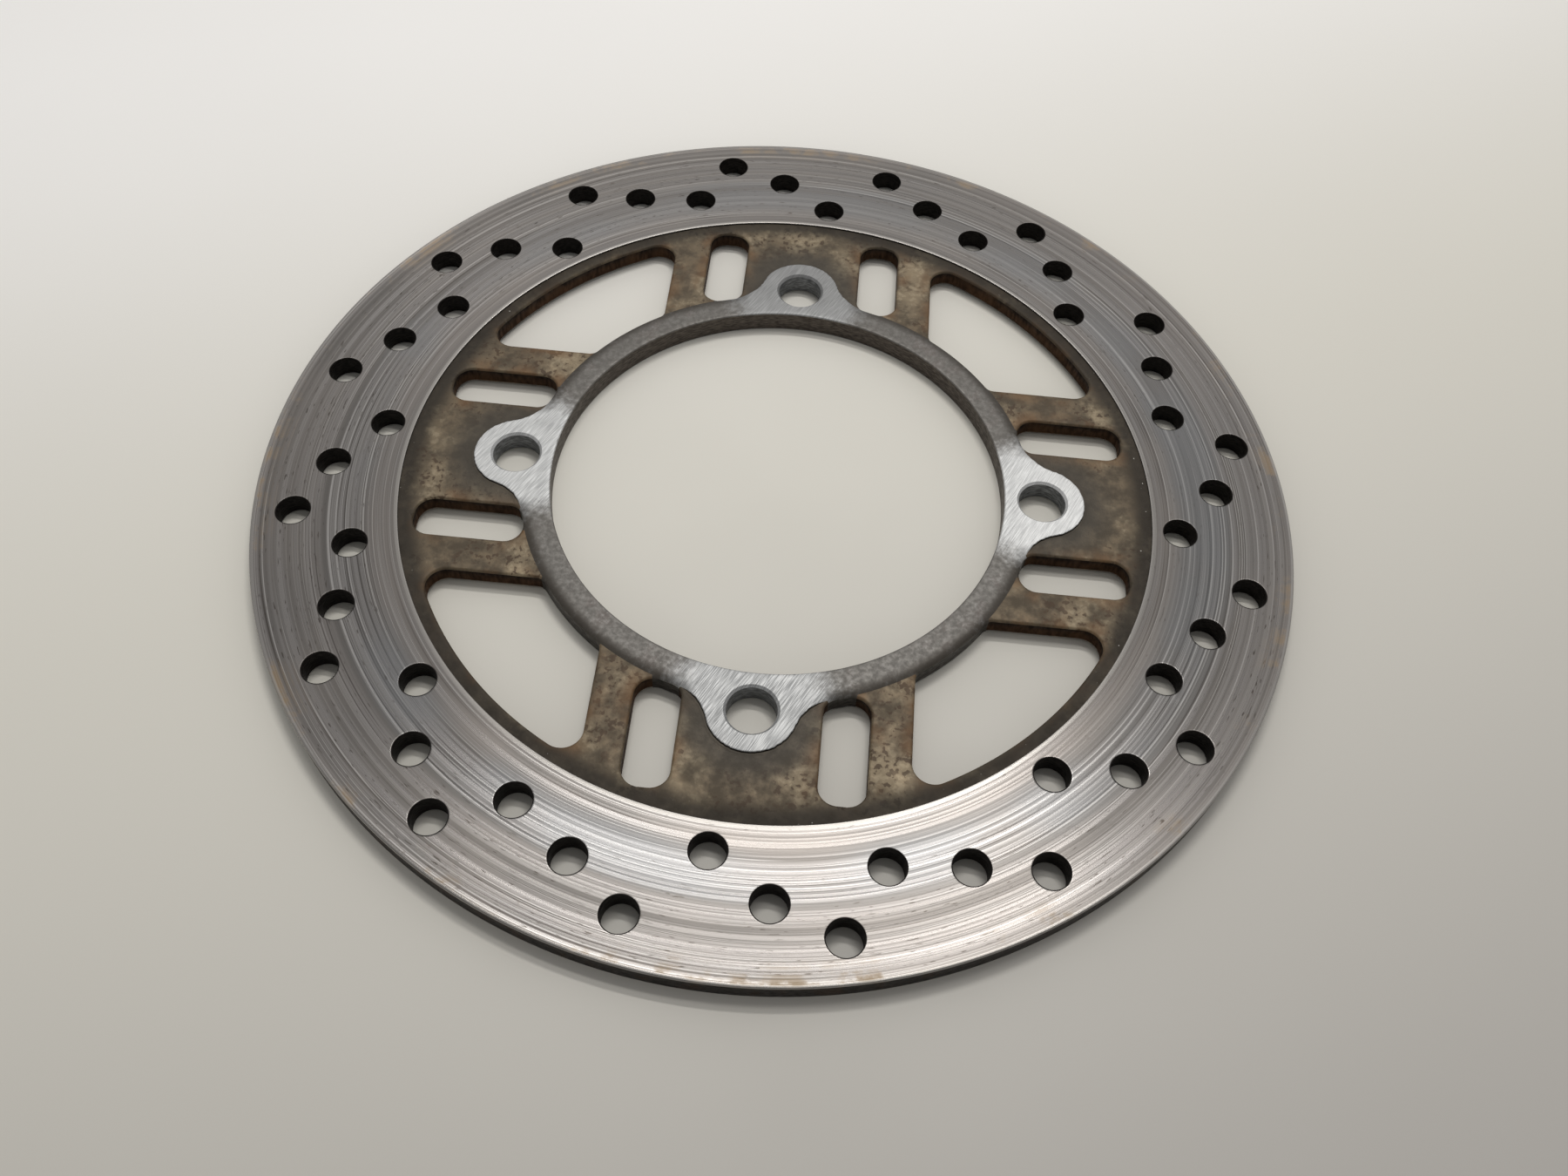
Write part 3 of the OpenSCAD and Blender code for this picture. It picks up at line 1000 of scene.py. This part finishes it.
def flange_face():
    """Bright linished lugs with crossing scratches, on a dull grey-brown ring, with painted shade on the top
    and bottom lugs and along the ring's outer shoulder, and a painted highlight on the side lugs.
    """
    s = Shader("flange_steel")
    inset = s.attribute("flange_mm")
    cloud = s.noise(s.place, 6, 4, 0.6)
    lug = s.lug_share()
    flake = s.noise(s.place, 1.1, 3, 0.6)
    wander = s.math("ADD", s.math("MULTIPLY", s.math("SUBTRACT", cloud, 0.5), 0.9),
                    s.math("MULTIPLY", s.math("SUBTRACT", flake, 0.5), 0.6))
    ground = s.fade(s.math("ADD", lug, wander), 0.02, 0.95)
    ground = s.math("MAXIMUM", ground, s.hub_side)
    scratch = s.streaks(0.22, 5.0, 62, 1)
    second = s.streaks(0.16, 9.0, 48, 4)
    bright = s.mix(s.fade(scratch, 0.35, 0.7), GROUND_DARK, GROUND_LIGHT)
    bright = s.mix(s.product(s.fade(second, 0.62, 0.7), 0.6), bright, SCRATCH)
    # Painted shade darkens the top and bottom lugs, and a painted highlight brightens the two side lugs
    x, y, _ = s.split(s.place)
    painted_lug_shade = s.math("MAXIMUM", s.product(s.fade(y, 25, 62), 0.75), s.product(s.fade(y, -25, -62), 0.24))
    bright = s.mix(painted_lug_shade, bright, LUG_PAINTED_SHADE)
    painted_lug_highlight = s.math("MAXIMUM", s.product(s.fade(x, 40, 60), 0.5), s.product(s.fade(x, -40, -60), 0.22))
    bright = s.mix(painted_lug_highlight, bright, LUG_PAINTED_HIGHLIGHT)
    mottle = s.noise(s.place, 1.1, 5, 0.65)
    dull = s.mix(s.fade(mottle, 0.35, 0.68), RING_DARK, RING_LIGHT)
    dull = s.mix(s.product(s.fade(cloud, 0.5, 0.68), 0.5), dull, RING_BROWN)
    pale = s.product(s.fade(s.noise(s.place, 0.9, 3), 0.6, 0.7), s.fade(cloud, 0.45, 0.6), 0.3)
    dull = s.mix(pale, dull, RING_PALE)
    # Painted shade: the ring is darkened along its sloping outer shoulder
    shoulder_shade = s.product(s.fade(inset, 3.0, 0.4), s.fade(ground, 1.0, 0.3), 0.85)
    dull = s.mix(shoulder_shade, dull, SHOULDER_SHADE)
    s.set("Base Color", s.mix(ground, dull, bright))
    s.set("Metallic", s.fade(ground, 0, 1, 0.5, 0.72))
    worked = s.fade(scratch, 0.3, 0.7, 0.62, 0.5)
    plain = s.fade(mottle, 0.3, 0.7, 0.58, 0.44)
    mixed = s.math("ADD", s.product(ground, worked), s.product(s.math("SUBTRACT", 1.0, ground), plain))
    s.set("Roughness", mixed)
    relief = s.bump(s.product(scratch, ground), 0.035)
    s.set("Normal", s.bump(mottle, 0.03, relief))
    return s.material


BORED_DARK = (0.112, 0.116, 0.120)
BORED_LIGHT = (0.258, 0.267, 0.275)
BORE_DARK = (0.039, 0.030, 0.024)
BORE_LIGHT = (0.103, 0.086, 0.071)
LUG_SIDE_DARK = (0.018, 0.015, 0.012)
LUG_SIDE_LIGHT = (0.065, 0.057, 0.048)


def flange_wall():
    """The bolt holes' cool grey walls, the bore's brown one, and the lugs' dark sides."""
    s = Shader("flange_wall")
    grain = s.noise(s.vector("MULTIPLY", s.place, (1, 1, 5)), 1.4, 3)
    in_bore = s.fade(s.radius, BORE_R + 0.6, BORE_R + 0.2)
    at_side = s.fade(s.attribute("flange_mm"), 0.6, 0.2)
    hole = s.mix(s.fade(grain, 0.35, 0.7), BORED_DARK, BORED_LIGHT)
    bore = s.mix(s.fade(grain, 0.3, 0.7), BORE_DARK, BORE_LIGHT)
    side = s.mix(s.fade(grain, 0.35, 0.7), LUG_SIDE_DARK, LUG_SIDE_LIGHT)
    s.set("Base Color", s.mix(in_bore, s.mix(at_side, hole, side), bore))
    s.set("Metallic", 0.6)
    s.set("Roughness", s.fade(grain, 0.3, 0.7, 0.58, 0.38))
    s.set("Normal", s.bump(grain, 0.03))
    return s.material


FLOOR_SHADED_NEAR = (0.38, 0.36, 0.34)
FLOOR_MIDDLE = (0.73, 0.705, 0.63)
FLOOR_LIT_FAR = (0.97, 0.955, 0.93)
FLOOR_CLOUD = (0.62, 0.60, 0.57)


def floor_face():
    """Plain pale laminate, a little uneven in tone and gloss, with painted light: darker towards the near
    side and brighter towards the far side.
    """
    s = Shader("pale_floor")
    cloud = s.noise(s.place, 70, 3)
    x, y, _ = s.split(s.place)
    # Painted light: the tone falls from far to near, as the light does
    away = s.math("SUBTRACT", y, s.math("MULTIPLY", x, 0.45))
    plain = s.mix(s.fade(away, -290, 50), FLOOR_SHADED_NEAR, FLOOR_MIDDLE)
    plain = s.mix(s.fade(away, -10, 230), plain, FLOOR_LIT_FAR)
    s.set("Base Color", s.mix(s.product(cloud, 0.12), plain, FLOOR_CLOUD))
    s.set("Roughness", s.fade(cloud, 0.3, 0.7, 0.48, 0.6))
    return s.material


# ---------------------------------------------------------------- stage


LAMP_COLOUR = (1.0, 0.985, 0.96)
ROOM_COLOUR = (0.99, 0.985, 0.98)


def floor(reach=2.5, cells=24):
    """A wide grid that the disc lies on. Reach is in metres."""
    steps = np.linspace(-reach, reach, cells + 1)
    points = [(x, y, cad_low.z) for y in steps for x in steps]
    wide = cells + 1
    faces = [(r * wide + c, r * wide + c + 1, (r + 1) * wide + c + 1, (r + 1) * wide + c)
             for r in range(cells) for c in range(cells)]
    mesh = bpy.data.meshes.new("floor")
    mesh.from_pydata(points, [], faces)
    mesh.materials.append(floor_face())
    made = bpy.data.objects.new("floor", mesh)
    bpy.context.scene.collection.objects.link(made)


def lamp(name, direction, distance, size, power):
    """A soft rectangular light, wide along X, that faces the disc. Distance and size are in metres."""
    data = bpy.data.lights.new(name, "AREA")
    data.shape = "RECTANGLE"
    data.size, data.size_y = size
    data.energy = power
    data.color = LAMP_COLOUR
    made = bpy.data.objects.new(name, data)
    away = Vector(direction).normalized()
    made.location = away * distance
    made.rotation_mode = "QUATERNION"
    made.rotation_quaternion = away.to_track_quat("Z", "Y")
    bpy.context.scene.collection.objects.link(made)


def world(near, far, low):
    """A plain room, whose strength goes from near (-Y) to far (+Y), and is at least low near the horizon."""
    made = bpy.data.worlds.new("studio")
    made.use_nodes = True
    nodes, links = made.node_tree.nodes, made.node_tree.links
    air = nodes["Background"]
    air.inputs["Color"].default_value = (*ROOM_COLOUR, 1)
    towards = nodes.new("ShaderNodeSeparateXYZ")
    links.new(nodes.new("ShaderNodeTexCoord").outputs["Generated"], towards.inputs[0])

    def change(axis, start, end, first, last):
        """First where the direction's axis is at start, and last where it is at end."""
        share = nodes.new("ShaderNodeMapRange")
        for name, number in (("From Min", start), ("From Max", end), ("To Min", first), ("To Max", last)):
            share.inputs[name].default_value = number
        links.new(towards.outputs[axis], share.inputs["Value"])
        return share.outputs["Result"]

    brighter = nodes.new("ShaderNodeMath")
    brighter.operation = "MAXIMUM"
    links.new(change("Y", -0.8, 0.8, near, far), brighter.inputs[0])
    links.new(change("Z", 0.42, 0.72, low, 0), brighter.inputs[1])
    links.new(brighter.outputs[0], air.inputs["Strength"])
    bpy.context.scene.world = made


# Where the camera is and what it points at, its turn about its own axis in degrees, and its lens
CAMERA_AT = Vector((8.16, -183.79, 237.54))
CAMERA_AIM = Vector((3.85, -29.71, 5.15))
CAMERA_ROLL = 4.156
CAMERA_LENS = 30.12


def camera():
    data = bpy.data.cameras.new("camera")
    data.lens = CAMERA_LENS
    data.clip_start, data.clip_end = 0.01, 20
    made = bpy.data.objects.new("camera", data)
    facing = (CAMERA_AIM - CAMERA_AT).to_track_quat("-Z", "Y").to_matrix()
    roll = Matrix.Rotation(math.radians(CAMERA_ROLL), 3, "Z")
    made.matrix_world = Matrix.Translation(CAMERA_AT * MM) @ (facing @ roll).to_4x4()
    bpy.context.scene.collection.objects.link(made)
    bpy.context.scene.camera = made


# ---------------------------------------------------------------- scene


def disc():
    """The seven regions, each with one material for its faces and one for its walls."""
    sheet = Sheet()
    band = band_face(), band_wall()
    oxide = web_face(), web_wall()
    flange = flange_face(), flange_wall()
    piece(sheet, "drilled_band", "braking_band", band_height, band)
    piece(sheet, "rim_inside_band", "inner_rim", web_height, oxide)
    for side in ("top", "right", "bottom", "left"):
        piece(sheet, f"slotted_web_{side}", f"web_{side}", web_height, oxide)
    piece(sheet, "lugged_flange", "hub_flange", flange_height, flange)


disc()
floor()
lamp("high", direction=(0.05, 0.24, 0.96), distance=1.0, size=(0.70, 0.08), power=1.8)
lamp("behind", direction=(0.04, 0.42, 0.90), distance=1.0, size=(0.40, 0.04), power=2.6)
world(near=0.09, far=0.67, low=0.62)
camera()
bpy.context.scene.view_settings.view_transform = "Standard"
